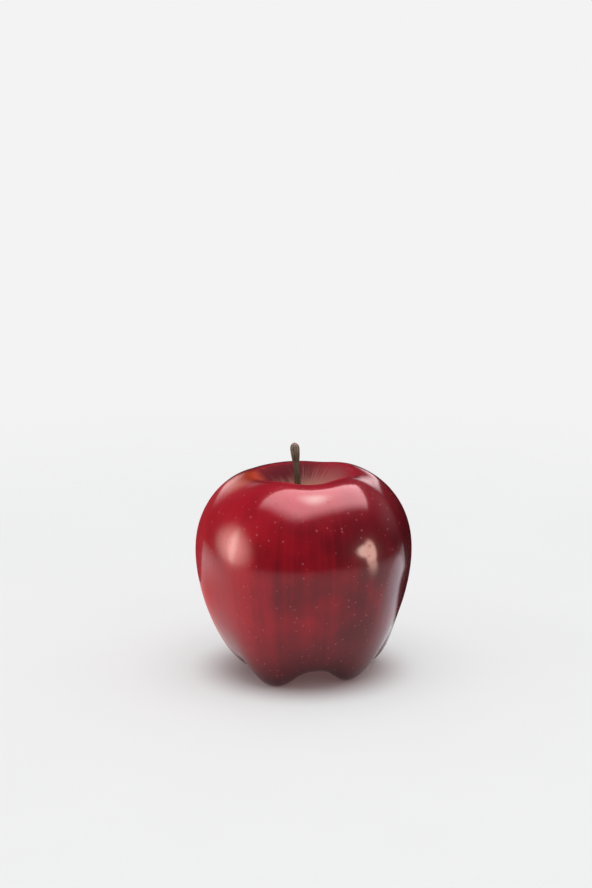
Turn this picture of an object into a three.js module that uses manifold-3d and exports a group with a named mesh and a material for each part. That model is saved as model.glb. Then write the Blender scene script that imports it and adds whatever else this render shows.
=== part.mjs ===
import * as THREE from "three";
import { mergeVertices } from "three/addons/utils/BufferGeometryUtils.js";
import Module from "manifold-3d";

// A tall, conical red apple with five lobes, standing on the toes of its lobes.
// The fruit grew as one piece. The woody stem stands in the cavity at its crown. The dried remains of the
// flower, five sepals and a tuft of stamens, hang in the basin under it.
// Lengths are millimetres and angles are degrees. +Z is up, Z is the axis of the fruit, and the table is Z = 0.
// The front is -Y, and an angle round the axis is counted from the front towards +X.

// Fruit: the half outline through the ridge of a lobe
const CROWN_HEIGHT = 71; // rim of the stem cavity above the table
const CROWN_RADIUS = 17.8; // axis to the top of the rim
const CHEEK_HEIGHT = 43.6; // widest part of a lobe above the table
const CHEEK_RADIUS = 38; // axis to the widest part of a lobe
const TOE_RADIUS = 19.5; // axis to the lowest point of a lobe
const TOE_FLAT = 0.25; // how much of each toe is pressed flat by the weight on it
const CAVITY_DEPTH = 14; // rim down to the bottom of the stem cavity
const BASIN_DEPTH = 12; // table up to the top of the basin

// Fruit: how far the outline keeps its direction at each of those places, before it turns to the next
const CAVITY_BOTTOM_EASE = 5;
const CROWN_INNER_EASE = 9;
const CROWN_OUTER_EASE = 7.7;
const CHEEK_UPPER_EASE = 16.2;
const CHEEK_LOWER_EASE = 19;
const TOE_OUTER_EASE = 6.7;
const TOE_INNER_EASE = 6;
const BASIN_TOP_EASE = 7;

// Fruit: the furrows between the lobes
const FURROW_RISE = 5.5; // underside of the furrow above the toes
const FURROW_TOE_EASE = 7.6; // toe ease in a furrow
const FURROW_CHEEK_DEPTH = 1; // how far the cheek is drawn in
const FURROW_CROWN_DEPTH = 0.8; // how far the rim dips
const FURROW_STEEPNESS = 0.7; // 0 for an even wave, 1 for broad ridges and furrows with steep sides

// Fruit: where each lobe points, and how far its foot spreads
const LOBES = [
  { angle: -30, spread: 0.07 },
  { angle: 54, spread: 0 },
  { angle: 107, spread: 0.2 },
  { angle: 190, spread: 0 },
  { angle: 260, spread: -0.09 },
];
const FOOT_HEIGHT = 30; // the spread fades out at this height
const WAIST_BOW = 0.2; // how far the waist stands to the right of the toes and the crown
const CROWN_LIFT_FRONT = 2.05; // how far the shoulder stands higher at the front than at mid depth
const CROWN_LIFT_RIGHT = 0.4; // and at the right

// Stem
const STEM_FOOT_X = -1.3; // where the stem stands, from the axis
const STEM_LENGTH = 24; // above the bottom of the cavity
const STEM_ROOT_RADIUS = 1.9;
const STEM_NECK_RADIUS = 1.05;
const STEM_SHAFT_RADIUS = 1.2;
const STEM_KNOB_RADIUS = 1.5;
const STEM_KNOB_LENGTH = 3.6;
const STEM_TIP_RADIUS = 0.5; // flat that is left in the middle of the rounded end
const STEM_LEAN_X = -1.9; // top of the stem from its foot
const STEM_LEAN_Y = 0.6;
const SOCKET_DEPTH = 2.5; // how deep the root stands in the flesh

// Calyx: the plate at the top of the basin, the tube above it, and the dried flower
const PLATE_RADIUS = 5.4;
const PLATE_RECESS = 0.5;
const TUBE_RADIUS = 1.9;
const TUBE_DEPTH = 4;
const SEPAL_COUNT = 5;
const SEPAL_LENGTH = 6.6;
const SEPAL_WIDTH = 3;
const SEPAL_THICKNESS = 0.55;
const SEPAL_RING_RADIUS = 3.7; // axis to the middle of a sepal's foot
const SEPAL_PINCH = 0.9; // how far the sepals draw together below their feet
const SEPAL_CURL = 2.6; // how far their tips turn out again
const STAMEN_COUNT = 9;
const STAMEN_LENGTH = 6.2;
const STAMEN_RADIUS = 0.2;
const STAMEN_DISC_THICKNESS = 0.6;
const STAMEN_SPREAD = 0.25; // how far a tip leans out

const FIT_GAP = 0.3; // between a piece and the wall of the hole that it stands in

// How a stem, a sepal and a stamen bend and taper, as shares of their own length or size
const STEM_FOOT_EASE = 0.25;
const STEM_TOP_EASE = 0.4;
const SEPAL_FOOT_EASE = 0.3;
const SEPAL_TIP_EASE = 0.4;
const SEPAL_TAPER = 1.5; // 1 narrows a sepal from its foot on, and more keeps it wide for longer
const SEPAL_TIP_WIDTH = 0.12;
const SEPAL_TIP_THICKNESS = 0.4;
const STAMEN_FOOT_EASE = 0.4;
const STAMEN_TIP_EASE = 0.3;
const STAMEN_WAIST = 0.9; // radius of the tuft half way down, as a share of its radius at the disc

// Fineness of the facets
const FRUIT_AROUND = 75;
const FRUIT_ALONG = 36;
const STEM_AROUND = 14;
const STEM_ALONG = 26;
const SEPAL_AROUND = 10;
const SEPAL_ALONG = 9;
const STAMEN_AROUND = 6;
const STAMEN_ALONG = 5;
const DISC_AROUND = 20;
const HOLE_AROUND = 28;

const UP = new THREE.Vector3(0, 0, 1);
const cavityBottom = CROWN_HEIGHT - CAVITY_DEPTH;
const plateHeight = BASIN_DEPTH + PLATE_RECESS;

const wasm = await Module();
wasm.setup();

function toSolid(geometry) {
  const bare = geometry.clone();
  bare.deleteAttribute("normal");
  bare.deleteAttribute("uv");
  const merged = mergeVertices(bare, 1e-5);
  return new wasm.Manifold(new wasm.Mesh({
    numProp: 3,
    vertProperties: new Float32Array(merged.attributes.position.array),
    triVerts: new Uint32Array(merged.index.array),
  }));
}

function toGeometry(solid) {
  const mesh = solid.getMesh();
  const geometry = new THREE.BufferGeometry();
  geometry.setAttribute("position", new THREE.BufferAttribute(mesh.vertProperties, 3));
  geometry.setIndex(new THREE.BufferAttribute(mesh.triVerts, 1));
  geometry.computeVertexNormals();
  return geometry;
}

// A round upright tool or disc between two heights
function uprightDisc(radius, low, high, around) {
  const disc = new THREE.CylinderGeometry(radius, radius, high - low, around);
  disc.rotateX(Math.PI / 2);
  disc.translate(0, 0, (low + high) / 2);
  return disc;
}

// A rod bent along a spine. Its half sizes at a fraction of its length are given along `side` and across it.
function bentRod(spine, side, halfSizes, around, along) {
  const rod = new THREE.CylinderGeometry(1, 1, 1, around, along);
  const places = rod.attributes.position;
  for (let i = 0; i < places.count; i += 1) {
    const fraction = places.getY(i) + 0.5;
    const direction = spine.getTangent(fraction);
    const level = side.clone().addScaledVector(direction, -side.dot(direction)).normalize();
    const across = new THREE.Vector3().crossVectors(level, direction);
    const [wide, thick] = halfSizes(fraction);
    const place = spine.getPoint(fraction);
    place.addScaledVector(level, places.getX(i) * wide);
    place.addScaledVector(across, places.getZ(i) * thick);
    places.setXYZ(i, place.x, place.y, place.z);
  }
  return rod;
}

function finish(name, geometry, color, roughness) {
  const mesh = new THREE.Mesh(geometry, new THREE.MeshStandardMaterial({ color, roughness, metalness: 0 }));
  mesh.name = name;
  return mesh;
}

// ---- Fruit ----

// The four curves of a half outline, from the bottom of the stem cavity over the crown, the cheek and the toe
// to the top of the basin. Each is a pair of (distance from the axis, height), with level or plumb ends.
function halfOutline(crownHeight, cheekRadius, toeHeight, toeEase) {
  const point = (radius, height) => new THREE.Vector2(radius, height);
  return [
    new THREE.CubicBezierCurve(
      point(0, cavityBottom),
      point(CAVITY_BOTTOM_EASE, cavityBottom),
      point(CROWN_RADIUS - CROWN_INNER_EASE, crownHeight),
      point(CROWN_RADIUS, crownHeight),
    ),
    new THREE.CubicBezierCurve(
      point(CROWN_RADIUS, crownHeight),
      point(CROWN_RADIUS + CROWN_OUTER_EASE, crownHeight),
      point(cheekRadius, CHEEK_HEIGHT + CHEEK_UPPER_EASE),
      point(cheekRadius, CHEEK_HEIGHT),
    ),
    new THREE.CubicBezierCurve(
      point(cheekRadius, CHEEK_HEIGHT),
      point(cheekRadius, CHEEK_HEIGHT - CHEEK_LOWER_EASE),
      point(TOE_RADIUS + toeEase, toeHeight),
      point(TOE_RADIUS, toeHeight),
    ),
    new THREE.CubicBezierCurve(
      point(TOE_RADIUS, toeHeight),
      point(TOE_RADIUS - TOE_INNER_EASE, toeHeight),
      point(BASIN_TOP_EASE, BASIN_DEPTH),
      point(0, BASIN_DEPTH),
    ),
  ];
}

const ridgeOutline = halfOutline(CROWN_HEIGHT, CHEEK_RADIUS, -TOE_FLAT, TOE_OUTER_EASE);
const furrowOutline = halfOutline(
  CROWN_HEIGHT - FURROW_CROWN_DEPTH,
  CHEEK_RADIUS - FURROW_CHEEK_DEPTH,
  FURROW_RISE,
  FURROW_TOE_EASE,
);

function alongOutline(outline, fraction) {
  const curve = Math.min(Math.floor(fraction * outline.length), outline.length - 1);
  return outline[curve].getPoint(fraction * outline.length - curve);
}

// At an angle round the axis: 1 on the ridge of a lobe, 0 in the furrow half way to the next, and the spread
// of the foot there
function lobeAt(angle) {
  const turn = THREE.MathUtils.euclideanModulo(angle - LOBES[0].angle, 360) + LOBES[0].angle;
  let index = LOBES.length - 1;
  while (LOBES[index].angle > turn) {
    index -= 1;
  }
  const lobe = LOBES[index];
  const next = LOBES[(index + 1) % LOBES.length];
  const nextAngle = index + 1 < LOBES.length ? next.angle : next.angle + 360;
  const between = (turn - lobe.angle) / (nextAngle - lobe.angle);
  const wave = (1 + Math.cos(2 * Math.PI * between)) / 2;
  const ridge = THREE.MathUtils.lerp(wave, THREE.MathUtils.smoothstep(wave, 0, 1), FURROW_STEEPNESS);
  const spread = THREE.MathUtils.lerp(lobe.spread, next.spread, THREE.MathUtils.smoothstep(between, 0, 1));
  return { ridge, spread };
}

function skinPoint(angle, fraction) {
  const { ridge, spread } = lobeAt(angle);
  const place = alongOutline(furrowOutline, fraction).lerp(alongOutline(ridgeOutline, fraction), ridge);
  const foot = Math.pow(THREE.MathUtils.clamp(1 - place.y / FOOT_HEIGHT, 0, 1), 2);
  const radius = place.x * (1 + spread * ridge * foot);
  const turn = THREE.MathUtils.degToRad(angle);
  const x = radius * Math.sin(turn);
  const y = -radius * Math.cos(turn);
  const lift = (CROWN_LIFT_RIGHT * x - CROWN_LIFT_FRONT * y) / CHEEK_RADIUS;
  const height = THREE.MathUtils.clamp(place.y / CROWN_HEIGHT, 0, 1);
  const bow = WAIST_BOW * Math.sin(Math.PI * height);
  return new THREE.Vector3(x + bow, y, place.y + lift * Math.pow(height, 3));
}

// A sphere's net of facets, with its rows laid along the half outline and its columns round the axis
function skin() {
  const net = new THREE.SphereGeometry(1, FRUIT_AROUND, FRUIT_ALONG);
  const { position, uv } = net.attributes;
  const column = 1 / FRUIT_AROUND;
  for (let i = 0; i < position.count; i += 1) {
    const fraction = 1 - uv.getY(i);
    const round = Math.round(uv.getX(i) / column) * column;
    const place = skinPoint((round % 1) * 360, fraction);
    position.setXYZ(i, place.x, place.y, place.z);
  }
  return net;
}

function fruit() {
  const wide = 2 * CHEEK_RADIUS + CROWN_HEIGHT;
  const belowTable = new THREE.BoxGeometry(wide, wide, wide);
  belowTable.translate(0, 0, -wide / 2);
  const socket = uprightDisc(
    STEM_ROOT_RADIUS + FIT_GAP,
    cavityBottom - SOCKET_DEPTH,
    cavityBottom + SOCKET_DEPTH,
    HOLE_AROUND,
  );
  socket.translate(STEM_FOOT_X, 0, 0);
  const plate = uprightDisc(PLATE_RADIUS, 0, plateHeight, HOLE_AROUND);
  const tube = uprightDisc(TUBE_RADIUS, 0, plateHeight + TUBE_DEPTH, HOLE_AROUND);
  let solid = toSolid(skin());
  for (const tool of [belowTable, socket, plate, tube]) {
    solid = solid.subtract(toSolid(tool));
  }
  return toGeometry(solid);
}

// ---- Stem ----

// The radius at a fraction of the length: the root in its socket, the neck above it, the shaft, and the rounded
// knob where the stem parted from the spur
function stemRadius(fraction) {
  const whole = SOCKET_DEPTH + STEM_LENGTH;
  const along = fraction * whole;
  const knob = whole - STEM_KNOB_LENGTH;
  const dome = whole - STEM_KNOB_RADIUS;
  const { smoothstep, lerp } = THREE.MathUtils;
  let radius = lerp(STEM_ROOT_RADIUS, STEM_NECK_RADIUS, smoothstep(along, SOCKET_DEPTH, whole / 3));
  radius = lerp(radius, STEM_SHAFT_RADIUS, smoothstep(along, whole / 3, knob));
  radius = lerp(radius, STEM_KNOB_RADIUS, smoothstep(along, knob, dome));
  const overDome = Math.max((along - dome) / STEM_KNOB_RADIUS, 0);
  return Math.max(radius * Math.sqrt(Math.max(1 - overDome * overDome, 0)), STEM_TIP_RADIUS);
}

function stem() {
  const root = cavityBottom - SOCKET_DEPTH;
  const whole = SOCKET_DEPTH + STEM_LENGTH;
  const point = (lean, along) => new THREE.Vector3(
    STEM_FOOT_X + STEM_LEAN_X * lean,
    STEM_LEAN_Y * lean,
    root + whole * along,
  );
  const spine = new THREE.CubicBezierCurve3(
    point(0, 0),
    point(0, STEM_FOOT_EASE),
    point(1 - STEM_TOP_EASE, 1 - STEM_TOP_EASE),
    point(1, 1),
  );
  const halfSizes = (fraction) => {
    const radius = stemRadius(fraction);
    return [radius, radius];
  };
  return bentRod(spine, new THREE.Vector3(1, 0, 0), halfSizes, STEM_AROUND, STEM_ALONG);
}

// ---- Sepals ----

// A sepal hangs from the plate: plumb at its foot, drawn in towards its neighbours, then curled out at its tip
function sepal(index) {
  const turn = (2 * Math.PI * index) / SEPAL_COUNT;
  const outward = new THREE.Vector3(Math.sin(turn), -Math.cos(turn), 0);
  const side = new THREE.Vector3().crossVectors(outward, UP);
  const point = (radius, drop) => outward.clone().multiplyScalar(radius).addScaledVector(UP, plateHeight - drop);
  const spine = new THREE.CubicBezierCurve3(
    point(SEPAL_RING_RADIUS, 0),
    point(SEPAL_RING_RADIUS, SEPAL_LENGTH * SEPAL_FOOT_EASE),
    point(SEPAL_RING_RADIUS - 2 * SEPAL_PINCH, SEPAL_LENGTH * (1 - SEPAL_TIP_EASE)),
    point(SEPAL_RING_RADIUS - SEPAL_PINCH + SEPAL_CURL, SEPAL_LENGTH),
  );
  const halfSizes = (fraction) => {
    const taper = Math.sqrt(Math.max(1 - Math.pow(fraction, SEPAL_TAPER), 0));
    const { lerp } = THREE.MathUtils;
    return [
      (SEPAL_WIDTH / 2) * lerp(SEPAL_TIP_WIDTH, 1, taper),
      (SEPAL_THICKNESS / 2) * lerp(SEPAL_TIP_THICKNESS, 1, taper),
    ];
  };
  return bentRod(spine, side, halfSizes, SEPAL_AROUND, SEPAL_ALONG);
}

// ---- Stamens ----

// The dried stamens and styles, grown together on a disc at the end of the calyx tube
function stamens() {
  const tubeEnd = plateHeight + TUBE_DEPTH;
  const discRadius = TUBE_RADIUS - FIT_GAP;
  const ring = discRadius - 2 * STAMEN_RADIUS;
  let solid = toSolid(uprightDisc(discRadius, tubeEnd - STAMEN_DISC_THICKNESS, tubeEnd, DISC_AROUND));
  for (let index = 0; index < STAMEN_COUNT; index += 1) {
    const turn = (2 * Math.PI * index) / STAMEN_COUNT;
    const outward = new THREE.Vector3(Math.sin(turn), -Math.cos(turn), 0);
    const side = new THREE.Vector3().crossVectors(outward, UP);
    const point = (radius, drop) => outward.clone().multiplyScalar(radius).addScaledVector(UP, tubeEnd - drop);
    const start = STAMEN_DISC_THICKNESS / 2;
    const spine = new THREE.CubicBezierCurve3(
      point(ring, start),
      point(ring, STAMEN_LENGTH * STAMEN_FOOT_EASE),
      point(ring * STAMEN_WAIST, STAMEN_LENGTH * (1 - STAMEN_TIP_EASE)),
      point(ring + STAMEN_SPREAD, STAMEN_LENGTH),
    );
    const halfSizes = () => [STAMEN_RADIUS, STAMEN_RADIUS];
    solid = solid.add(toSolid(bentRod(spine, side, halfSizes, STAMEN_AROUND, STAMEN_ALONG)));
  }
  return toGeometry(solid);
}

const group = new THREE.Group();
group.add(finish("fruit", fruit(), 0x8a1420, 0.25));
group.add(finish("stem", stem(), 0x5a4630, 0.7));
for (let index = 0; index < SEPAL_COUNT; index += 1) {
  group.add(finish(`sepal_${index + 1}`, sepal(index), 0x9a8f5a, 0.85));
}
group.add(finish("stamens", stamens(), 0x3a2a1c, 0.9));

export default group;
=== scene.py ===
import math

import bmesh
import bpy
import numpy as np
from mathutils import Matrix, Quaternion, Vector, noise


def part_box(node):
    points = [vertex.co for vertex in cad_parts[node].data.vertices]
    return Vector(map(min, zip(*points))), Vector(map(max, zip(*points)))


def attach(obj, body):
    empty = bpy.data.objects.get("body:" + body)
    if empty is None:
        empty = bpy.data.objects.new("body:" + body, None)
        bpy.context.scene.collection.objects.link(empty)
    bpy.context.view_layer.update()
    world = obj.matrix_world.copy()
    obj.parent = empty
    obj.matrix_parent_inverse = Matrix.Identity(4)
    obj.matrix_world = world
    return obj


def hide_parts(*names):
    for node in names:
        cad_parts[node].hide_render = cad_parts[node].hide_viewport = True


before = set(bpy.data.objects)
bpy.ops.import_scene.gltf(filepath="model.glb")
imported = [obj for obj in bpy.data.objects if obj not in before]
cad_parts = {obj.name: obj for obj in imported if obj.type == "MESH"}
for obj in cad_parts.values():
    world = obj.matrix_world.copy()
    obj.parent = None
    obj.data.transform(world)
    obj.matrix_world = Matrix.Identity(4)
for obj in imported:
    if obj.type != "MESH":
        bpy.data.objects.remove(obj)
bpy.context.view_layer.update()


# ---- The fruit: its shape ----
# Skin and flesh grew as one piece round the five cells of the core, so the fruit has five lobes. It
# draws in to the stem and to the dried flower, and stands on the toes of its lobes, which its weight
# presses flat. The places of the other pieces in the frame give the depths of its two hollows.

MM = 0.001
cavity_depth = 14 * MM
socket_depth = 2.5 * MM
cavity_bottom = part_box("stem")[0].z + socket_depth
crown_height = cavity_bottom + cavity_depth
crown_radius = 17.8 * MM
cheek_height = 43.6 * MM
cheek_radius = 38 * MM
toe_radius = 19.5 * MM
toe_flat = 0.25 * MM
plate_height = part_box("sepal_1")[1].z
tube_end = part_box("stamens")[1].z
tube_radius = 1.75 * MM
mouth_radius = 2.6 * MM
mouth_rounding = 1 * MM
mouth_inner_ease = 2.1 * MM
mouth_outer_ease = 0.3 * MM
tube_end_flat = 0.4 * MM

cavity_bottom_ease = 5 * MM
crown_inner_ease = 9 * MM
crown_outer_ease = 7.7 * MM
cheek_upper_ease = 16.2 * MM
cheek_lower_ease = 19 * MM
toe_inner_ease = 6 * MM
toe_outer_ease = 6.7 * MM
furrow_toe_ease = 7.6 * MM
plate_ease = 5 * MM

furrow_rise = 5.5 * MM
furrow_cheek_depth = 1 * MM
furrow_crown_depth = 0.8 * MM
furrow_steepness = 0.7
lobe_angles = np.array([-30, 54, 107, 190, 260])
foot_spreads = np.array([0.07, 0, 0.2, 0, -0.09])
foot_height = 30 * MM
waist_bow = 0.2 * MM
crown_lift_front = 2.05 * MM
crown_lift_right = 0.4 * MM
rim_swells = [(137, 24, 1.2 * MM), (222, 20, 0.7 * MM)]
rim_swell_reach = 0.07
flesh_swells = [(15 * MM, 0.06), (4 * MM, 0.012)]

columns = 320
rows_per_curve = 60
rows_per_small_curve = 12


def bezier(start, start_pull, end_pull, end, rows):
    """Points of a cubic curve, from its start up to, but not onto, its end."""
    t = np.linspace(0, 1, rows, endpoint=False)[:, None]
    a, b, c, d = (np.array(p, float) for p in (start, start_pull, end_pull, end))
    return (1 - t) ** 3 * a + 3 * (1 - t) ** 2 * t * b + 3 * (1 - t) * t ** 2 * c + t ** 3 * d


def soften(values, reach):
    """Averages each row with its neighbours, with less weight further off. Both ends are padded already."""
    offsets = np.arange(-3 * reach, 3 * reach + 1)
    weights = np.exp(-0.5 * (offsets / reach) ** 2)
    weights /= weights.sum()
    return np.apply_along_axis(lambda line: np.convolve(line, weights, mode="valid"), 0, values)


def half_outline(crown, cheek, toe, toe_ease):
    """Radius and height from the bottom of the stem cavity over the cheek to the mouth of the tube."""
    curves = [
        ((0, cavity_bottom), (cavity_bottom_ease, cavity_bottom),
         (crown_radius - crown_inner_ease, crown), (crown_radius, crown)),
        ((crown_radius, crown), (crown_radius + crown_outer_ease, crown),
         (cheek, cheek_height + cheek_upper_ease), (cheek, cheek_height)),
        ((cheek, cheek_height), (cheek, cheek_height - cheek_lower_ease),
         (toe_radius + toe_ease, toe), (toe_radius, toe)),
        ((toe_radius, toe), (toe_radius - toe_inner_ease, toe),
         (mouth_radius + plate_ease, plate_height), (mouth_radius, plate_height)),
    ]
    line = np.vstack([bezier(*curve, rows_per_curve) for curve in curves])
    reach = 5
    pad = 3 * reach
    mirrored = line[1:pad + 1][::-1] * (-1, 1)
    step = line[-1] - line[-2]
    onward = line[-1] + step * np.arange(1, pad + 1)[:, None]
    return soften(np.vstack([mirrored, line, onward]), reach)


def round_the_axis(angles):
    """For each angle: 1 on the ridge of a lobe, 0 in the furrow beside it, and how far the foot spreads."""
    turned = (angles - lobe_angles[0]) % 360 + lobe_angles[0]
    starts = np.append(lobe_angles, lobe_angles[0] + 360)
    lobe = np.searchsorted(lobe_angles, turned, side="right") - 1
    across = (turned - starts[lobe]) / (starts[lobe + 1] - starts[lobe])
    wave = (1 + np.cos(2 * np.pi * across)) / 2
    ridge = wave * (1 - furrow_steepness) + wave ** 2 * (3 - 2 * wave) * furrow_steepness
    blend = across ** 2 * (3 - 2 * across)
    spread = foot_spreads[lobe] * (1 - blend) + foot_spreads[(lobe + 1) % 5] * blend
    reach = 4
    pad = 3 * reach
    both = np.column_stack([ridge, spread])
    both = soften(np.vstack([both[-pad:], both, both[:pad]]), reach)
    return both[:, 0], both[:, 1]


def grid_shell(grid, first, last, base=0):
    """Points and faces over rows of points that run round, closed by a fan of triangles at each end."""
    count, round_count = grid.shape[:2]
    points = np.vstack([[first], grid.reshape(-1, 3), [last]])
    start = base + 1
    end = base + len(points) - 1
    faces = []
    for column in range(round_count):
        beside = (column + 1) % round_count
        faces.append((base, start + beside, start + column))
        for row in range(count - 1):
            top = start + row * round_count
            low = top + round_count
            faces.append((top + column, top + beside, low + beside, low + column))
        under = end - round_count
        faces.append((under + column, under + beside, end))
    return points, faces


def smooth_object(name, points, faces):
    """An object whose faces all point out."""
    mesh = bpy.data.meshes.new(name)
    mesh.from_pydata(np.asarray(points, float).tolist(), [], faces)
    body = bmesh.new()
    body.from_mesh(mesh)
    bmesh.ops.recalc_face_normals(body, faces=body.faces)
    body.to_mesh(mesh)
    body.free()
    mesh.polygons.foreach_set("use_smooth", [True] * len(mesh.polygons))
    mesh.update()
    made = bpy.data.objects.new(name, mesh)
    bpy.context.scene.collection.objects.link(made)
    return made


def grid_mesh(name, grid, first, last):
    return smooth_object(name, *grid_shell(grid, first, last))


def growth_attribute(made, growth):
    """Stores each point's direction round the axis and its place along it, for patterns of growth."""
    layer = made.data.attributes.new("growth", "FLOAT_VECTOR", "POINT")
    layer.data.foreach_set("vector", np.asarray(growth, float).reshape(-1))


angles = np.arange(columns) * 360 / columns
turns = np.radians(angles)
ridge, spread = round_the_axis(angles)
on_ridge = half_outline(crown_height, cheek_radius, -toe_flat, toe_outer_ease)
in_furrow = half_outline(
    crown_height - furrow_crown_depth, cheek_radius - furrow_cheek_depth, furrow_rise, furrow_toe_ease
)
line = in_furrow[:, None] * (1 - ridge[None, :, None]) + on_ridge[:, None] * ridge[None, :, None]
tube_start = plate_height + mouth_rounding
mouth = np.vstack([
    bezier((mouth_radius, plate_height), (mouth_inner_ease, plate_height),
           (tube_radius, plate_height + mouth_outer_ease), (tube_radius, tube_start), rows_per_small_curve),
    bezier((tube_radius, tube_start), (tube_radius, tube_end - mouth_rounding),
           (tube_radius, tube_end), (tube_end_flat, tube_end), rows_per_small_curve),
])
line = np.vstack([line, np.repeat(mouth[:, None], columns, axis=1)])[1:]
at_foot = np.clip(1 - line[..., 1] / foot_height, 0, 1) ** 2
line[..., 1] -= (on_ridge[:, 1].min() + toe_flat) * at_foot
flank_rows = 4 * rows_per_curve
place_along = (np.arange(len(line)) + 1) / flank_rows
at_rim = np.exp(-((place_along - 0.25) / rim_swell_reach) ** 2)[:, None]
for angle, reach, size in rim_swells:
    line[..., 1] += size * at_rim * np.exp(-((angles - angle) / reach) ** 2)
radius = line[..., 0] * (1 + (ridge * spread)[None] * at_foot)
height = np.clip(line[..., 1] / crown_height, 0, 1)
x = radius * np.sin(turns)
y = -radius * np.cos(turns)
lift = (crown_lift_right * x - crown_lift_front * y) / cheek_radius
bowed_x = x + waist_bow * np.sin(np.pi * height)
skin_grid = np.stack([bowed_x, y, line[..., 1] + lift * height ** 3], axis=-1)

# The flesh swells a little unevenly, more on the flanks than in the hollows
down = np.gradient(skin_grid, axis=0)
beside = np.roll(skin_grid, -1, axis=1) - np.roll(skin_grid, 1, axis=1)
outward = np.cross(beside, down)
outward /= -np.linalg.norm(outward, axis=-1, keepdims=True)
flank = np.sin(np.pi * np.clip(np.arange(len(line)) / flank_rows, 0, 1)) ** 0.5
swell = np.array([
    sum(size * noise.noise(Vector(p) / reach) for reach, size in flesh_swells)
    for p in skin_grid.reshape(-1, 3)
]).reshape(skin_grid.shape[:2])
skin_grid += outward * (swell * flank[:, None] * MM)[..., None]
skin_grid[..., 2] = np.maximum(skin_grid[..., 2], 0)

fruit = grid_mesh("apple_skin", skin_grid, (0, 0, cavity_bottom), (0, 0, tube_end))
growth = np.broadcast_arrays(np.sin(turns)[None], -np.cos(turns)[None], place_along[:, None])
growth = np.stack(growth, axis=-1)
growth = np.vstack([[(0, 0, 0)], growth.reshape(-1, 3), [(0, 0, place_along[-1])]])
growth_attribute(fruit, growth)
furrow_layer = fruit.data.attributes.new("furrow", "FLOAT", "POINT")
furrow_values = np.concatenate([[0], np.tile(1 - ridge, len(line)), [0]])
furrow_layer.data.foreach_set("value", furrow_values)

# One chart for the whole skin: round the axis one way and along the outline the other. The divisor a
# little over 1 keeps the last column of the chart at its edge.
chart_width = 1.0000001
lengths = np.linalg.norm(np.diff(skin_grid, axis=0), axis=2).mean(axis=1)
along = np.concatenate([[0], [lengths[0]], lengths[0] + np.cumsum(lengths), [0]])
along[-1] = along[-2] + lengths[-1]
along /= along[-1]
chart = fruit.data.uv_layers.new(name="OFBake")
uvs = np.zeros((len(fruit.data.loops), 2))
point_row = np.concatenate([[0], np.repeat(np.arange(len(line)) + 1, columns), [len(line) + 1]])
point_column = np.concatenate([[0], np.tile(np.arange(columns), len(line)), [0]])
for face in fruit.data.polygons:
    points = [fruit.data.loops[i].vertex_index for i in face.loop_indices]
    real = [point_column[p] for p in points if 0 < p < len(point_row) - 1]
    wraps = max(real) - min(real) > 1
    own_middle = sum(c + columns * (wraps and c == 0) for c in real) / len(real)
    for loop, p in zip(face.loop_indices, points):
        pole = p == 0 or p == len(point_row) - 1
        column = own_middle if pole else point_column[p] + columns * (wraps and point_column[p] == 0)
        uvs[loop] = ((column / columns + 0.5) % chart_width, 1 - along[point_row[p]])
chart.data.foreach_set("uv", uvs.reshape(-1))


# ---- The fruit: its skin ----
# A thin peel with a natural wax on it. Red colour covers a yellow-green ground in fine streaks that run
# from stem to flower, closed on the flanks and broken in the two hollows. Pale pores lie all over it.

def shader_node(tree, kind, inputs=None, **settings):
    """Adds a node. Its inputs are given as values or as the sockets that feed them."""
    made = tree.nodes.new("ShaderNode" + kind)
    for key, value in settings.items():
        setattr(made, key, value)
    for key, value in (inputs or {}).items():
        if isinstance(value, bpy.types.NodeSocket):
            tree.links.new(value, made.inputs[key])
        else:
            made.inputs[key].default_value = value
    return made


def calculate(tree, operation, *values, clamp=False):
    made = shader_node(tree, "Math", dict(enumerate(values)), operation=operation)
    made.use_clamp = clamp
    return made.outputs[0]


def between(tree, value, low, high, to_low=0.0, to_high=1.0):
    """A soft step: to_low where the value is under low, to_high where it is over high."""
    inputs = {"Value": value, "From Min": low, "From Max": high, "To Min": to_low, "To Max": to_high}
    return shader_node(tree, "MapRange", inputs, interpolation_type="SMOOTHSTEP").outputs["Result"]


def mix_colors(tree, factor, first, second):
    made = shader_node(tree, "Mix", data_type="RGBA")
    for index, value in ((0, factor), (6, first), (7, second)):
        if isinstance(value, bpy.types.NodeSocket):
            tree.links.new(value, made.inputs[index])
        else:
            made.inputs[index].default_value = value
    return made.outputs[2]


def color(text):
    """The linear colour of a six-digit display colour."""
    parts = [int(text[i:i + 2], 16) / 255 for i in (0, 2, 4)]
    return tuple(((c + 0.055) / 1.055) ** 2.4 if c > 0.04 else c / 12.92 for c in parts) + (1,)


def color_ramp(tree, factor, stops):
    made = shader_node(tree, "ValToRGB", {"Fac": factor})
    ramp = made.color_ramp
    while len(ramp.elements) < len(stops):
        ramp.elements.new(1)
    for element, (place, text) in zip(ramp.elements, stops):
        element.position = place
        element.color = color(text)
    return made.outputs["Color"]


def effect(name, inputs, output):
    """An empty group with one output. An input is a number, or a vector where its value is None."""
    tree = bpy.data.node_groups.new(name, "ShaderNodeTree")
    for label, value in inputs.items():
        kind = "NodeSocketVector" if value is None else "NodeSocketFloat"
        socket = tree.interface.new_socket(label, in_out="INPUT", socket_type=kind)
        if value is not None:
            socket.default_value = value
    tree.interface.new_socket(output, in_out="OUTPUT", socket_type="NodeSocketFloat")
    start = tree.nodes.new("NodeGroupInput")
    end = tree.nodes.new("NodeGroupOutput")
    return tree, start.outputs, end.inputs[output]


def use(tree, group, **inputs):
    made = tree.nodes.new("ShaderNodeGroup")
    made.node_tree = group
    for key, value in inputs.items():
        label = key.replace("_", " ")
        if isinstance(value, bpy.types.NodeSocket):
            tree.links.new(value, made.inputs[label])
        else:
            made.inputs[label].default_value = value
    return made.outputs[0]


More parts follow.
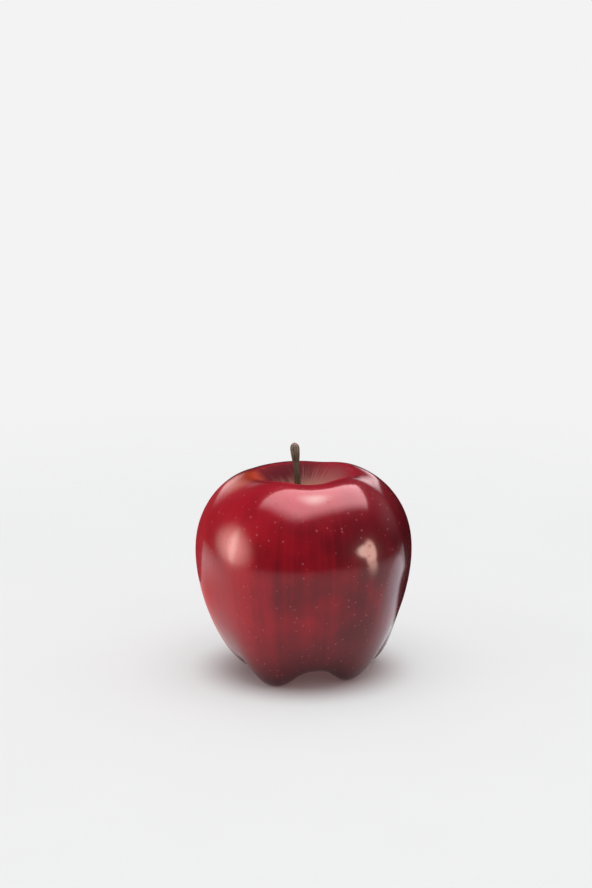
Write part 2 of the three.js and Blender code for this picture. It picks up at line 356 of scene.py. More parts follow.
# Streaks that follow the growth of a piece: fine round it and long along it
growth_streaks, given, result = effect(
    "growth_streaks", {"Growth": None, "Count": 20.0, "Length": 2.0, "Detail": 3.0}, "Streak"
)
stretch = shader_node(growth_streaks, "CombineXYZ",
                      {"X": given["Count"], "Y": given["Count"], "Z": given["Length"]})
stretched = shader_node(growth_streaks, "VectorMath", {0: given["Growth"], 1: stretch.outputs[0]},
                        operation="MULTIPLY")
streaks = shader_node(growth_streaks, "TexNoise", {
    "Vector": stretched.outputs[0], "Scale": 1.0, "Detail": given["Detail"], "Roughness": 0.6,
})
growth_streaks.links.new(streaks.outputs["Fac"], result)

# Cloudy variation of a given size
mottle, given, result = effect(
    "mottle", {"Place": None, "Size": 0.005, "Contrast": 1.0, "Detail": 3.0}, "Cloud"
)
finer = calculate(mottle, "DIVIDE", 1.0, given["Size"])
clouds = shader_node(mottle, "TexNoise", {
    "Vector": given["Place"], "Scale": finer, "Detail": given["Detail"],
})
centred = calculate(mottle, "SUBTRACT", clouds.outputs["Fac"], 0.5)
stronger = calculate(mottle, "MULTIPLY", centred, given["Contrast"])
mottle.links.new(calculate(mottle, "ADD", stronger, 0.5, clamp=True), result)

# Scattered round specks, each of its own size
specks, given, result = effect("specks", {"Place": None, "Spacing": 0.004, "Radius": 0.0003}, "Speck")
finer = calculate(specks, "DIVIDE", 1.0, given["Spacing"])
cells = shader_node(specks, "TexVoronoi", {"Vector": given["Place"], "Scale": finer, "Randomness": 1.0})
distance = calculate(specks, "MULTIPLY", cells.outputs["Distance"], given["Spacing"])
chance = shader_node(specks, "SeparateColor", {"Color": cells.outputs["Color"]}).outputs["Red"]
own_radius = calculate(specks, "MULTIPLY", given["Radius"], between(specks, chance, 0.0, 1.0, 0.35, 1.15))
inner = calculate(specks, "MULTIPLY", own_radius, 0.45)
inside = shader_node(specks, "MapRange", {"Value": distance, "From Min": own_radius, "From Max": inner},
                     interpolation_type="SMOOTHSTEP")
specks.links.new(inside.outputs["Result"], result)


def new_material(name):
    """A material with a Principled shader, and the two places that its patterns start from."""
    made = bpy.data.materials.new(name)
    made.use_nodes = True
    tree = made.node_tree
    shader = tree.nodes["Principled BSDF"]
    place = shader_node(tree, "TexCoord").outputs["Object"]
    growth = shader_node(tree, "Attribute", attribute_name="growth").outputs["Vector"]
    return made, tree, shader, place, growth


skin, tree, shader, place, growth_vector = new_material("apple_skin")
parts = shader_node(tree, "SeparateXYZ", {"Vector": growth_vector})
rightward, backward, along_skin = (parts.outputs[axis] for axis in "XYZ")
furrow = shader_node(tree, "Attribute", attribute_name="furrow").outputs["Fac"]

fine_streak = use(tree, growth_streaks, Growth=growth_vector, Count=26.0, Length=3.0, Detail=4.0)
broad_streak = use(tree, growth_streaks, Growth=growth_vector, Count=6.0, Length=1.6, Detail=3.0)
cloud = use(tree, mottle, Place=place, Size=0.016, Contrast=1.8, Detail=3.0)
grit = use(tree, mottle, Place=place, Size=0.0011, Contrast=1.6, Detail=2.0)

# The red, brightest on the shoulder and on the left, deep on the right and at the toes. The change from left
# to right is partly the fruit's own sunny side and partly painted light from the lamps at the left; the dark
# toes are painted shade where the fruit meets the table.
light_red = color_ramp(tree, along_skin, [
    (0.0, "7c2028"), (0.2, "980c24"), (0.3, "a80a22"), (0.42, "aa0a1e"),
    (0.57, "b01022"), (0.7, "4a0610"), (0.9, "6a1014"), (1.0, "8a3a20"),
])
deep_red = color_ramp(tree, along_skin, [
    (0.0, "501018"), (0.15, "6c0a1c"), (0.26, "800a1e"), (0.36, "780b1b"), (0.46, "500410"),
    (0.62, "580814"), (0.75, "340610"), (1.0, "5a2818"),
])
# Lighter to the left, darker to the right: partly the fruit's sunny side, partly painted light from the left
# lamps
sun_and_lamp_side = calculate(tree, "MULTIPLY_ADD", rightward, -0.36, 0.45)
sun_and_lamp_side = calculate(tree, "MULTIPLY_ADD", backward, 0.04, sun_and_lamp_side)
tone = calculate(tree, "ADD", calculate(tree, "MULTIPLY_ADD", broad_streak, 0.5, -0.25), sun_and_lamp_side)
tone = calculate(tree, "ADD", tone, calculate(tree, "MULTIPLY_ADD", cloud, 0.45, -0.22))
tone = calculate(tree, "ADD", tone, calculate(tree, "MULTIPLY_ADD", fine_streak, 0.24, -0.12))
red = mix_colors(tree, between(tree, tone, 0.05, 0.95), deep_red, light_red)

# The red breaks up round the flower, over an olive ground
toward_flower = calculate(tree, "MULTIPLY_ADD", furrow, 0.07, along_skin)
at_flower = between(tree, toward_flower, 0.86, 1.02, 1.0, 0.0)
broken = calculate(tree, "MULTIPLY_ADD", fine_streak, 1.5, -0.75)
coverage = between(tree, calculate(tree, "ADD", at_flower, broken), 0.25, 0.75)
ground = color_ramp(tree, along_skin, [(0.7, "a04030"), (0.86, "8a4a24"), (0.94, "77622c"), (1.0, "6b6430")])
peel = mix_colors(tree, coverage, ground, red)

# In the stem cavity it thins out to pale rays over a russet ground, green right beside the stem
rays_round_stem = use(tree, growth_streaks, Growth=growth_vector, Count=18.0, Length=4.0, Detail=5.0)
depth = between(tree, along_skin, 0.03, 0.225)
swing = calculate(tree, "MULTIPLY_ADD", rays_round_stem, 2.2, -1.1)
swing = calculate(tree, "MULTIPLY", swing, calculate(tree, "SUBTRACT", 1.0, depth))
russet = color_ramp(tree, along_skin, [(0.0, "6a6a2c"), (0.05, "9a7c4c"), (0.1, "bc8a74"), (0.2, "b47670")])
# The pale rays are the skin's own; gathering them on the right wall adds painted light where that wall faces
# the lamps
rays_and_light_from_right = calculate(tree, "MULTIPLY_ADD", rightward, 0.3, rays_round_stem)
pale_rays = calculate(tree, "MULTIPLY", between(tree, rays_and_light_from_right, 0.42, 0.72),
                      between(tree, along_skin, 0.14, 0.24, 0.55, 0.0))

# Its left and back wall and the rim above it are darkened to a deep red with painted shade
away = calculate(tree, "MULTIPLY_ADD", rightward, -1.6, backward)
near_rim = between(tree, along_skin, 0.2, 0.33, 0.85, 0.0)
painted_cavity_shade = calculate(tree, "MULTIPLY", between(tree, away, -0.4, 1.0), near_rim)
peel = mix_colors(tree, painted_cavity_shade, peel, color("400a12"))
peel = mix_colors(tree, pale_rays, peel, color("c07870"))
peel = mix_colors(tree, between(tree, calculate(tree, "ADD", depth, swing), 0.3, 0.9), russet, peel)

# A patch on the left of the rim was shaded by a leaf, and its ground shows through
shaded_place = (-20.4 * MM, -4 * MM, 70 * MM)
shaded_reach = 6 * MM
from_patch = shader_node(tree, "VectorMath", {0: place, 1: shaded_place}, operation="DISTANCE")
uneven = calculate(tree, "MULTIPLY_ADD", cloud, -shaded_reach, from_patch.outputs["Value"])
shaded = calculate(tree, "MULTIPLY", between(tree, uneven, 0.0, shaded_reach, 1.0, 0.0), 0.7)
peel = mix_colors(tree, shaded, peel, color("a83a18"))

# The pores, each a little duller than the wax round it
pores = use(tree, specks, Place=place, Spacing=0.0022, Radius=0.00048)
pore_tint = calculate(tree, "MULTIPLY", pores, 0.34)
peel = mix_colors(tree, pore_tint, peel, color("b8686c"))
tree.links.new(peel, shader.inputs["Base Color"])

# The wax covers the outside and ends at the rim of the stem cavity, which is dry and dull
dull = calculate(tree, "MULTIPLY_ADD", cloud, 0.08, 0.32)
dull = calculate(tree, "MULTIPLY_ADD", pores, 0.2, dull)
dull = calculate(tree, "ADD", dull, between(tree, along_skin, 0.22, 0.26, 0.45, 0.0))
tree.links.new(dull, shader.inputs["Roughness"])
waxed = between(tree, along_skin, 0.235, 0.275, 0.0, 1.0)
waxed = calculate(tree, "MULTIPLY", waxed, calculate(tree, "MULTIPLY_ADD", pores, -0.5, 1.0))
tree.links.new(waxed, shader.inputs["Coat Weight"])
shader.inputs["Coat Roughness"].default_value = 0.11
shader.inputs["Coat IOR"].default_value = 1.4
shader.inputs["IOR"].default_value = 1.4
shader.inputs["Specular IOR Level"].default_value = 0.1

relief = calculate(tree, "MULTIPLY_ADD", pores, 0.25, calculate(tree, "MULTIPLY", fine_streak, 0.06))
relief = calculate(tree, "MULTIPLY_ADD", grit, 0.03, relief)
bump = shader_node(tree, "Bump", {"Height": relief, "Distance": 0.0001, "Strength": 1.0})
tree.links.new(bump.outputs["Normal"], shader.inputs["Normal"])

fruit.data.materials.append(skin)
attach(fruit, "root")
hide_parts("fruit")


# ---- The stem ----
# A short woody stalk whose root stands in the flesh at the bottom of the cavity. It narrows to a neck,
# runs up with lengthwise ribs in its bark, and ends in the knob where it broke from the tree.

stem_root, stem_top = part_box("stem")[0].z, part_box("stem")[1].z
stem_length = stem_top - stem_root
stem_foot_x = -1.3 * MM
stem_lean = Vector((-1.9 * MM, 0.6 * MM, 0))
stem_dome = 1.6 * MM
stem_top_sink = 0.12 * MM
stem_rows = 150
stem_columns = 48


def stem_radius(height):
    """The radius of the stem at heights above its root."""
    places = np.array([0, 2.2, 3.4, 6, 10, 17, 21, 22.6, 24.2, 25.4, 26.5]) * MM
    sizes = np.array([1.9, 1.95, 1.5, 1.16, 1.04, 1.1, 1.14, 1.42, 1.52, 1.5, 1.4]) * MM
    return np.interp(height, places, sizes)


def swept_grid(middles, radii, across, over):
    """Rows of points round a line: `across` and `over` are the two directions that span each row."""
    turn = np.linspace(0, 2 * np.pi, radii.shape[1], endpoint=False)
    ring = np.cos(turn)[None, :, None] * across[:, None] + np.sin(turn)[None, :, None] * over[:, None]
    return middles[:, None] + ring * radii[..., None]


share = np.linspace(0, 1, stem_rows)
foot = np.array([stem_foot_x, 0, stem_root])
lean = np.array(stem_lean)
rise = np.array([0, 0, stem_length])
t = share[:, None]
middles = (foot + 3 * (1 - t) ** 2 * t * rise * 0.25 + 3 * (1 - t) * t ** 2 * (lean * 0.6 + rise * 0.6)
           + t ** 3 * (lean + rise))
direction = np.gradient(middles, axis=0)
direction /= np.linalg.norm(direction, axis=1, keepdims=True)
across = np.cross((0, 1, 0), direction)
across /= np.linalg.norm(across, axis=1, keepdims=True)
over = np.cross(direction, across)
stem_turn = np.linspace(0, 2 * np.pi, stem_columns, endpoint=False)
profile = soften(np.pad(stem_radius(share * stem_length), 12, mode="edge")[:, None], 4)[:, 0]
ribs = np.array([
    [noise.noise(Vector((1.6 * math.cos(a), 1.6 * math.sin(a), 2.4 * s))) * 0.13
     + noise.noise(Vector((4.5 * math.cos(a), 4.5 * math.sin(a), 7 * s))) * 0.07 for a in stem_turn]
    for s in share
])
dome = np.clip((share * stem_length - (stem_length - stem_dome)) / stem_dome, 0, 0.985)
radii = profile[:, None] * (1 + ribs) * np.sqrt(1 - dome ** 2)[:, None]
stem_grid = swept_grid(middles, radii, across, over)
stem = grid_mesh("stem_bark", stem_grid, middles[0], middles[-1] - np.array([0, 0, stem_top_sink]))
stem_growth = np.broadcast_arrays(np.cos(stem_turn)[None], np.sin(stem_turn)[None], share[:, None])
stem_growth = np.stack(stem_growth, axis=-1)
growth_attribute(stem, np.vstack([[(0, 0, 0)], stem_growth.reshape(-1, 3), [(0, 0, 1)]]))

bark, tree, shader, place, growth_vector = new_material("stem_bark")
height_on_stem = shader_node(tree, "SeparateXYZ", {"Vector": growth_vector}).outputs["Z"]
fibre = use(tree, growth_streaks, Growth=growth_vector, Count=5.0, Length=5.0, Detail=5.0)
patch = use(tree, mottle, Place=place, Size=0.0022, Contrast=2.0, Detail=4.0)
dots = use(tree, specks, Place=place, Spacing=0.0011, Radius=0.00016)
# The ramp pales again at the top of the knob: partly its own grey, partly a painted highlight
wood = color_ramp(tree, calculate(tree, "MULTIPLY_ADD", patch, 0.16, height_on_stem), [
    (0.0, "6a6a34"), (0.25, "94724a"), (0.5, "7c6a44"), (0.75, "524c34"), (0.93, "544a34"), (1.0, "7a6e5a"),
])
dark_wood = mix_colors(tree, 0.75, wood, color("1e160e"))
wood = mix_colors(tree, between(tree, fibre, 0.42, 0.6), dark_wood, wood)
wood = mix_colors(tree, calculate(tree, "MULTIPLY", dots, 0.5), wood, color("b09a78"))
tree.links.new(wood, shader.inputs["Base Color"])
tree.links.new(calculate(tree, "MULTIPLY_ADD", patch, 0.2, 0.4), shader.inputs["Roughness"])
relief = calculate(tree, "MULTIPLY_ADD", dots, 0.4, fibre)
bump = shader_node(tree, "Bump", {"Height": relief, "Distance": 0.00025, "Strength": 1.0})
tree.links.new(bump.outputs["Normal"], shader.inputs["Normal"])

stem.data.materials.append(bark)
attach(stem, "root")
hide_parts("stem")


# ---- The sepals ----
# Five leaf-like tips of the old flower, left to dry on the plate round the mouth of the tube. Each is a
# thin, downy blade that hangs down, draws together with its neighbours and curls outward at its tip.

sepal_length = plate_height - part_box("sepal_1")[0].z
sepal_ring = 3.7 * MM
sepal_pinch = 0.9 * MM
sepal_curl = 2.6 * MM
sepal_width = 3 * MM
sepal_thickness = 0.4 * MM
sepal_hollow = 0.42 * MM
sepal_frill = 0.45 * MM
sepal_edge_wave = 0.16
sepal_foot_rise = 0.35 * MM
sepal_rows = 40
sepal_columns = 28

dried, tree, shader, place, growth_vector = new_material("dried_sepal")
on_sepal = shader_node(tree, "SeparateXYZ", {"Vector": growth_vector}).outputs["Z"]
veins = use(tree, growth_streaks, Growth=growth_vector, Count=7.0, Length=2.0, Detail=4.0)
stain = use(tree, mottle, Place=place, Size=0.0018, Contrast=2.2, Detail=4.0)
down_tufts = use(tree, specks, Place=place, Spacing=0.0005, Radius=0.00018)
leaf = color_ramp(tree, calculate(tree, "MULTIPLY_ADD", stain, 0.3, on_sepal), [
    (0.0, "8c8a50"), (0.4, "a89c60"), (0.8, "8a6e40"), (1.2, "4a3420"),
])
leaf = mix_colors(tree, between(tree, veins, 0.35, 0.65), mix_colors(tree, 0.5, leaf, color("2c2214")), leaf)
leaf = mix_colors(tree, calculate(tree, "MULTIPLY", down_tufts, 0.6), leaf, color("cfc9a8"))
tree.links.new(leaf, shader.inputs["Base Color"])
tree.links.new(calculate(tree, "MULTIPLY_ADD", stain, 0.15, 0.75), shader.inputs["Roughness"])
shader.inputs["Sheen Weight"].default_value = 0.4
relief = calculate(tree, "ADD", veins, calculate(tree, "MULTIPLY", down_tufts, 0.7))
bump = shader_node(tree, "Bump", {"Height": relief, "Distance": 0.00015, "Strength": 1.0})
tree.links.new(bump.outputs["Normal"], shader.inputs["Normal"])


def make_sepal(index):
    """One blade. Its rows run from its foot on the plate to its tip, and round both of its faces."""
    turn = 2 * math.pi * index / 5
    outward = np.array([math.sin(turn), -math.cos(turn), 0])
    sideways = np.array([-outward[1], outward[0], 0])
    drop = np.array([0, 0, -1.0])
    share = np.linspace(0, 1, sepal_rows)
    t = share[:, None]
    own_curl = sepal_curl * (1 + 0.35 * noise.noise(Vector((index * 3.1, 0.5, 0))))
    points = [
        outward * sepal_ring,
        outward * sepal_ring + drop * sepal_length * 0.3,
        outward * (sepal_ring - 2 * sepal_pinch) + drop * sepal_length * 0.6,
        outward * (sepal_ring - sepal_pinch + own_curl) + drop * sepal_length * 0.96,
    ]
    middles = ((1 - t) ** 3 * points[0] + 3 * (1 - t) ** 2 * t * points[1]
               + 3 * (1 - t) * t ** 2 * points[2] + t ** 3 * points[3] + np.array([0, 0, plate_height]))
    direction = np.gradient(middles, axis=0)
    direction /= np.linalg.norm(direction, axis=1, keepdims=True)
    flat = np.cross(sideways, direction)
    turns = np.linspace(0, 2 * np.pi, sepal_columns, endpoint=False)
    taper = np.sqrt(np.clip(1 - share ** 1.6, 0, 1)) * (1 + 0.12 * np.sin(math.pi * share))
    wide = sepal_width / 2 * (0.06 + 0.9 * taper)
    thick = sepal_thickness / 2 * (0.35 + 0.65 * taper)
    u = np.cos(turns)[None] * np.ones((sepal_rows, 1))
    curve = (u ** 2) * sepal_hollow * taper[:, None]
    frill = np.array([
        [noise.noise(Vector((c * 1.7, s * 5, index * 7.3))) for c in np.cos(turns)] for s in share
    ]) * sepal_frill * share[:, None]
    edge = np.array([
        [noise.noise(Vector((math.copysign(3, c), s * 9, index * 2.9))) for c in np.cos(turns)]
        for s in share
    ])
    width = wide[:, None] * u * (1 + sepal_edge_wave * edge)
    depth = thick[:, None] * np.sin(turns)[None] + curve + frill
    grid = middles[:, None] + width[..., None] * sideways + depth[..., None] * flat[:, None]
    grid[..., 2] = np.minimum(grid[..., 2], plate_height + sepal_foot_rise)
    made = grid_mesh(f"sepal_blade_{index + 1}", grid, grid[0].mean(axis=0), grid[-1].mean(axis=0))
    growth = np.stack(np.broadcast_arrays(u, np.sin(turns)[None] * 0.15, share[:, None]), -1)
    growth_attribute(made, np.vstack([[(0, 0, 0)], growth.reshape(-1, 3), [(0, 0, 1)]]))
    made.data.materials.append(dried)
    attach(made, "root")
    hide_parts(f"sepal_{index + 1}")


for index in range(5):
    make_sepal(index)


# ---- The stamens ----
# The withered threads of the flower, grown fast to a small disc at the end of the tube. Each ends in a
# dried pollen sac, and they stand close together inside the ring of sepals.

stamen_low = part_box("stamens")[0].z
stamen_count = 9
stamen_radius = 0.16 * MM
stamen_ring = 1.15 * MM
stamen_pinch = 0.35 * MM
stamen_sac = 0.2 * MM
stamen_foot_sink = 0.3 * MM
disc_middle_drop = 0.62 * MM
disc_columns = 24
stamen_rows = 26
stamen_columns = 10


def make_stamens():
    """Every thread is a closed tube with a thicker sac at its end. The disc is the first of the shells."""
    points, faces, growth = [], [], []

    def add_shell(grid, first, last, shares):
        own_start = len(points)
        shell_points, shell_faces = grid_shell(grid, first, last, own_start)
        points.extend(shell_points)
        faces.extend(shell_faces)
        around = np.linspace(0, 2 * np.pi, grid.shape[1], endpoint=False)
        directions = np.stack(np.broadcast_arrays(
            np.cos(around)[None] + own_start * 0.37, np.sin(around)[None], np.asarray(shares)[:, None]), -1)
        growth.extend([(0, 0, 0), *directions.reshape(-1, 3), (0, 0, 1)])

    around = np.linspace(0, 2 * np.pi, disc_columns, endpoint=False)
    disc_line = [(1.0, 0.0), (1.5, 0.1), (1.55, 0.45), (1.2, 0.7), (0.5, 0.62)]
    disc = np.array([
        [(r * math.cos(a) * MM, -r * math.sin(a) * MM, tube_end - z * MM) for a in around]
        for r, z in disc_line
    ])
    add_shell(disc, (0, 0, tube_end), (0, 0, tube_end - disc_middle_drop), np.linspace(0, 1, len(disc_line)))
    length = tube_end - stamen_low
    for index in range(stamen_count):
        turn = 2 * math.pi * index / stamen_count
        wobble = [noise.noise(Vector((index * 5.3, k, 0.4))) for k in range(4)]
        outward = np.array([math.sin(turn), -math.cos(turn), 0])
        sideways = np.array([-outward[1], outward[0], 0])
        share = np.linspace(0, 1, stamen_rows)
        reach = length * (0.86 + 0.22 * wobble[0])
        ring = stamen_ring * (1 + 0.2 * wobble[1]) - stamen_pinch * np.sin(math.pi * share)
        drift = (0.6 * wobble[2] * share ** 2 + 0.25 * np.sin(5 * share + index)) * MM
        drop = tube_end - stamen_foot_sink - share * (reach - stamen_foot_sink)
        middles = (outward * (ring + 0.5 * MM * wobble[3] * share ** 2)[:, None] + sideways * drift[:, None]
                   + np.array([0, 0, 1]) * drop[:, None])
        direction = np.gradient(middles, axis=0)
        direction /= np.linalg.norm(direction, axis=1, keepdims=True)
        over = np.cross(sideways, direction)
        sac = np.exp(-((share - 0.93) / 0.055) ** 2)
        tip = np.sqrt(np.clip(1 - np.clip((share - 0.93) / 0.07, 0, 0.97) ** 2, 0, 1))
        radii = (stamen_radius * (1 - 0.35 * share) + stamen_sac * sac) * tip
        grid = swept_grid(middles, np.repeat(radii[:, None], stamen_columns, 1),
                          np.repeat(sideways[None], stamen_rows, 0), over)
        add_shell(grid, middles[0], middles[-1], share)
    made = smooth_object("stamen_tuft", points, faces)
    growth_attribute(made, growth)
    return made


stamens = make_stamens()
withered, tree, shader, place, growth_vector = new_material("withered_stamen")
on_thread = shader_node(tree, "SeparateXYZ", {"Vector": growth_vector}).outputs["Z"]
creases = use(tree, growth_streaks, Growth=growth_vector, Count=3.0, Length=6.0, Detail=4.0)
stain = use(tree, mottle, Place=place, Size=0.0009, Contrast=2.0, Detail=3.0)
thread = color_ramp(tree, calculate(tree, "MULTIPLY_ADD", stain, 0.2, on_thread), [
    (0.0, "4a3a22"), (0.5, "3a2a1a"), (0.95, "2a1c12"), (1.1, "5a4426"),
])
creased = mix_colors(tree, 0.6, thread, color("120c08"))
thread = mix_colors(tree, between(tree, creases, 0.4, 0.6), creased, thread)
tree.links.new(thread, shader.inputs["Base Color"])
tree.links.new(calculate(tree, "MULTIPLY_ADD", stain, 0.2, 0.65), shader.inputs["Roughness"])
bump = shader_node(tree, "Bump", {"Height": creases, "Distance": 0.0001, "Strength": 1.0})
tree.links.new(bump.outputs["Normal"], shader.inputs["Normal"])
stamens.data.materials.append(withered)
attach(stamens, "root")
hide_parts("stamens")


# ---- The table ----
# A matt white round board under the fruit, whose edge fades into the white backdrop. It glows, which throws
# light back up into the lower half of the skin;
# round the middle, where the fruit stands, it glows less and in a dull red: a painted shadow with painted
# red bounce light.

table_radius = 0.42
table_fade_start = 0.16
table_fade_end = 0.4
painted_shadow_start = 0.02
painted_shadow_end = 0.042
table_sides = 96
table_mesh = bpy.data.meshes.new("table")
rim = [2 * math.pi * i / table_sides for i in range(table_sides)]
table_mesh.from_pydata(
    [(table_radius * math.cos(a), table_radius * math.sin(a), 0) for a in rim], [],
    [tuple(range(table_sides))]
)
table = bpy.data.objects.new("table", table_mesh)
bpy.context.scene.collection.objects.link(table)
board, tree, shader, place, _ = new_material("white_board")
haze = use(tree, mottle, Place=place, Size=0.05, Contrast=1.0, Detail=4.0)
tree.links.new(mix_colors(tree, haze, color("b2b2b2"), color("b6b6b6")), shader.inputs["Base Color"])
tree.links.new(calculate(tree, "MULTIPLY_ADD", haze, 0.06, 0.35), shader.inputs["Roughness"])
shader.inputs["Specular IOR Level"].default_value = 0.0
from_middle = shader_node(tree, "VectorMath", {0: place}, operation="LENGTH").outputs["Value"]
# The painted shadow: a dull red glow near the middle, a full white glow further out
outside_painted_shadow = between(tree, from_middle, painted_shadow_start, painted_shadow_end)
shader.inputs["Emission Strength"].default_value = 0.37
glow_with_painted_shadow = mix_colors(tree, outside_painted_shadow, color("8a6262"), color("fdfefe"))
tree.links.new(glow_with_painted_shadow, shader.inputs["Emission Color"])
solid = between(tree, from_middle, table_fade_start, table_fade_end, 1.0, 0.0)
tree.links.new(solid, shader.inputs["Alpha"])
table.data.materials.append(board)


# ---- The light ----
# White walls and two broad lamps, overhead and at the left, light the fruit softly. What the skin mirrors
# is set apart from them: a window overhead, softer lights to both sides, shaded spots on the table, and
# two dark balls behind the fruit, like its neighbours in a heap. The rest of the room stays dim.

def aim(made, place, target):
    made.location = place
    made.rotation_mode = "QUATERNION"
    made.rotation_quaternion = (Vector(target) - Vector(place)).to_track_quat("-Z", "Y")


def area_lamp(name, place, target, size, power):
    lamp = bpy.data.lights.new(name, "AREA")
    lamp.shape = "RECTANGLE"
    lamp.size, lamp.size_y = size
    lamp.energy = power
    made = bpy.data.objects.new(name, lamp)
    bpy.context.scene.collection.objects.link(made)
    aim(made, place, target)
    made.visible_glossy = False
    made.visible_camera = False


def mirrored_only(made):
    """Leaves an object to mirroring surfaces: neither the camera nor the light itself meets it."""
    made.visible_camera = False
    made.visible_diffuse = False
    made.visible_shadow = False


def card(name, place, size, strength, tint, make_mask, level_turn=None):
    """A card that only mirroring surfaces see. It faces the fruit, or lies level, turned by degrees."""
    mesh = bpy.data.meshes.new(name)
    wide, tall = size[0] / 2, size[1] / 2
    corners = [(-wide, -tall, 0), (wide, -tall, 0), (wide, tall, 0), (-wide, tall, 0)]
    mesh.from_pydata(corners, [], [(0, 1, 2, 3)])
    made = bpy.data.objects.new(name, mesh)
    bpy.context.scene.collection.objects.link(made)
    aim(made, place, (0, 0, place[2]))
    if level_turn is not None:
        made.rotation_quaternion = Quaternion((0, 0, 1), math.radians(level_turn))
    glow = bpy.data.materials.new(name)
    glow.use_nodes = True
    tree = glow.node_tree
    tree.nodes.remove(tree.nodes["Principled BSDF"])
    inside = shader_node(tree, "SeparateXYZ", {"Vector": shader_node(tree, "TexCoord").outputs["Object"]})
    sideways = calculate(tree, "DIVIDE", inside.outputs["X"], wide)
    upright = calculate(tree, "DIVIDE", inside.outputs["Y"], tall)
    mask = make_mask(tree, sideways, upright)
    emission = shader_node(tree, "Emission", {"Color": color(tint), "Strength": strength})
    clear = shader_node(tree, "BsdfTransparent")
    shown = shader_node(tree, "MixShader", {0: mask, 1: clear.outputs[0], 2: emission.outputs[0]})
    tree.links.new(shown.outputs[0], tree.nodes["Material Output"].inputs["Surface"])
    mesh.materials.append(glow)
    mirrored_only(made)


def window(left, right, low, high):
    """A mask with four straight sides, each of which fades over its own share of the half size."""
    def make_mask(tree, sideways, upright):
        whole = 1.0
        sides = ((sideways, -1.0, left), (sideways, 1.0, right), (upright, -1.0, low), (upright, 1.0, high))
        for along, sign, fade in sides:
            outward = calculate(tree, "MULTIPLY", along, sign)
            whole = calculate(tree, "MULTIPLY", between(tree, outward, 1 - fade, 1.0, 1.0, 0.0), whole)
        return whole
    return make_mask


def oval(fade):
    """A round mask that fades over a share of its radius."""
    def make_mask(tree, sideways, upright):
        across = shader_node(tree, "CombineXYZ", {"X": sideways, "Y": upright})
        radius = shader_node(tree, "VectorMath", {0: across.outputs[0]}, operation="LENGTH")
        return between(tree, radius.outputs["Value"], 1 - fade, 1.0, 1.0, 0.0)
    return make_mask


ball_columns = 48
ball_rows = 26


def neighbour(name, place, radius, glow_strength):
    """A dark ball that only mirroring surfaces see, where another fruit of a heap would lie."""
    turns = np.linspace(0, 2 * np.pi, ball_columns, endpoint=False)
    rows = np.linspace(0, np.pi, ball_rows)[1:-1]
    ball = np.stack([np.sin(rows)[:, None] * np.cos(turns), np.sin(rows)[:, None] * np.sin(turns),
                     np.cos(rows)[:, None] * np.ones(len(turns))], axis=-1)
    made = grid_mesh(name, np.array(place) + radius * ball, place + np.array([0, 0, radius]),
                     place - np.array([0, 0, radius]))
    glow = bpy.data.materials.new(name)
    glow.use_nodes = True
    tree = glow.node_tree
    tree.nodes.remove(tree.nodes["Principled BSDF"])
    emission = shader_node(tree, "Emission", {"Color": color("c04048"), "Strength": glow_strength})
    tree.links.new(emission.outputs[0], tree.nodes["Material Output"].inputs["Surface"])
    made.data.materials.append(glow)
    mirrored_only(made)


fruit_middle = Vector((0, 0, 0.036))
area_lamp("lamp_over", (0.1, -0.1, 1.1), fruit_middle, size=(1.1, 1.1), power=5.6)
area_lamp("lamp_left", (-1.5, -0.5, 0.9), fruit_middle, size=(0.9, 0.9), power=2.0)

card("window_card", (0.164, 0.026, 0.75), (1.355, 0.90), strength=8.9, tint="ffccd2",
     make_mask=window(0.48, 0.05, 0.64, 0.1), level_turn=40)
card("window_hot_spot", (0.105, 0.03, 0.74), (0.27, 0.5), strength=16.0, tint="fffcf6",
     make_mask=oval(1.0), level_turn=0)
card("soft_light_left", (-0.69, -0.08, 0.10), (1.0, 0.68), strength=9.3, tint="ffded2",
     make_mask=oval(1.0))
card("soft_core_left", (-0.68, -0.05, 0.11), (0.28, 0.54), strength=13.5, tint="ffe8dc",
     make_mask=oval(1.0))
card("soft_light_right", (0.66, -0.28, 0.08), (0.25, 0.4), strength=16.0, tint="ffd0bf",
     make_mask=oval(0.4))
card("soft_light_right_low", (0.635, -0.355, 0.12), (0.34, 0.22), strength=19.0, tint="ffd4c4",
     make_mask=oval(0.45))
card("light_on_table_right", (0.325, -0.135, 0.002), (0.46, 0.085), strength=10.0, tint="ffd0bf",
     make_mask=oval(0.6), level_turn=-20)
card("dark_hole_right", (0.60, -0.25, 0.157), (0.05, 0.045), strength=0.05, tint="c04048",
     make_mask=oval(0.7))
card("shade_on_table_right", (0.062, 0.066, 0.0025), (0.1, 0.1), strength=0.08, tint="c04048",
     make_mask=oval(0.4), level_turn=0)
card("shade_on_table_left", (-0.065, 0.045, 0.0025), (0.15, 0.15), strength=1.2, tint="d87878",
     make_mask=oval(1.0), level_turn=0)
card("glare_on_table_right", (0.14, 0.045, 0.0015), (0.26, 0.11), strength=2.4, tint="f0e4f0",
     make_mask=oval(0.6), level_turn=28)
card("dim_wall_right", (0.6, 0.35, 0.3), (0.9, 0.6), strength=0.45, tint="ffdce0",
     make_mask=oval(1.0))
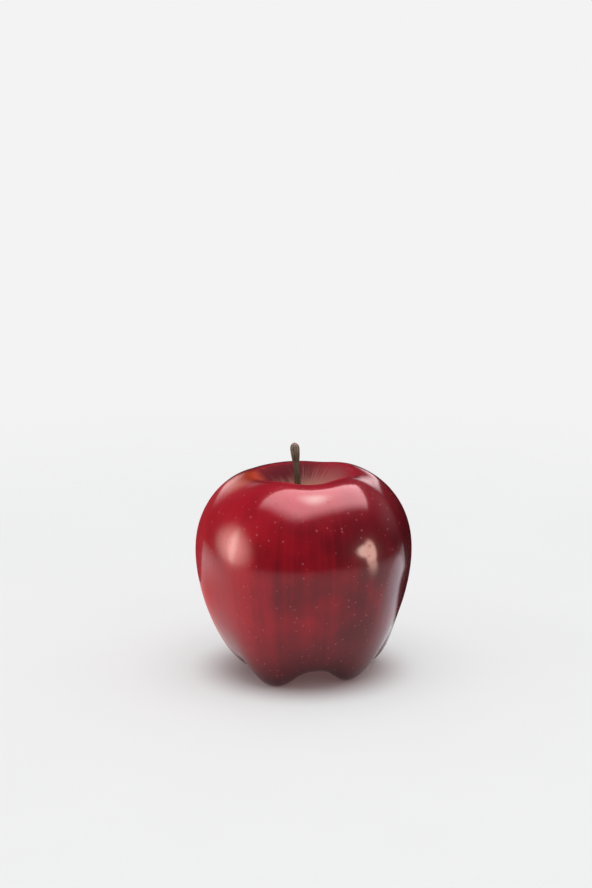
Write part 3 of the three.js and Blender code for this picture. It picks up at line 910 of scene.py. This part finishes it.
card("shoulder_light_left", (-0.22, 0.45, 0.18), (0.34, 0.34), strength=2.2, tint="ffdcdc",
     make_mask=oval(1.0))
card("shoulder_light_right", (0.165, 0.475, 0.14), (0.28, 0.22), strength=2.3, tint="ffe4e8",
     make_mask=oval(0.9))
neighbour("dark_neighbour_left", (-0.070, 0.082, 0.038), radius=0.038, glow_strength=0.7)
neighbour("dark_neighbour_right", (0.071, 0.089, 0.042), radius=0.042, glow_strength=0.1)

room = bpy.data.worlds.new("room")
bpy.context.scene.world = room
room.use_nodes = True
tree = room.node_tree
rays = shader_node(tree, "LightPath")
soft = shader_node(tree, "Background", {"Color": (0.98, 0.98, 1.0, 1), "Strength": 0.76})
dim = shader_node(tree, "Background", {"Color": (0.8, 0.7, 0.7, 1), "Strength": 0.03})
seen = shader_node(tree, "Background", {"Color": color("f3f3f3"), "Strength": 1.0})
mirrored = shader_node(tree, "MixShader", {
    0: rays.outputs["Is Glossy Ray"], 1: soft.outputs[0], 2: dim.outputs[0],
})
shown = shader_node(tree, "MixShader", {
    0: rays.outputs["Is Camera Ray"], 1: mirrored.outputs[0], 2: seen.outputs[0],
})
tree.links.new(shown.outputs[0], tree.nodes["World Output"].inputs["Surface"])


# ---- The camera ----
# A long lens a metre from the fruit, a little above it. The fruit sits below the middle of the tall frame.

camera_distance = 1.0
camera_elevation = math.radians(17.24)
fruit_below_middle = 0.0443
fruit_right_of_middle = 0.0027
lens_length = 116.96
film_width = 36
lens_data = bpy.data.cameras.new("camera")
lens_data.lens = lens_length
lens_data.sensor_width = film_width
lens_data.clip_start = 0.01
camera = bpy.data.objects.new("camera", lens_data)
bpy.context.scene.collection.objects.link(camera)
sight = Vector((0, math.cos(camera_elevation), -math.sin(camera_elevation)))
upward = Vector((0, math.sin(camera_elevation), math.cos(camera_elevation)))
target = Vector((0, 0, 0.035))
aim(camera, target - sight * camera_distance,
    target + upward * fruit_below_middle - Vector((fruit_right_of_middle, 0, 0)))
bpy.context.scene.camera = camera

bpy.context.scene.view_settings.view_transform = "Standard"
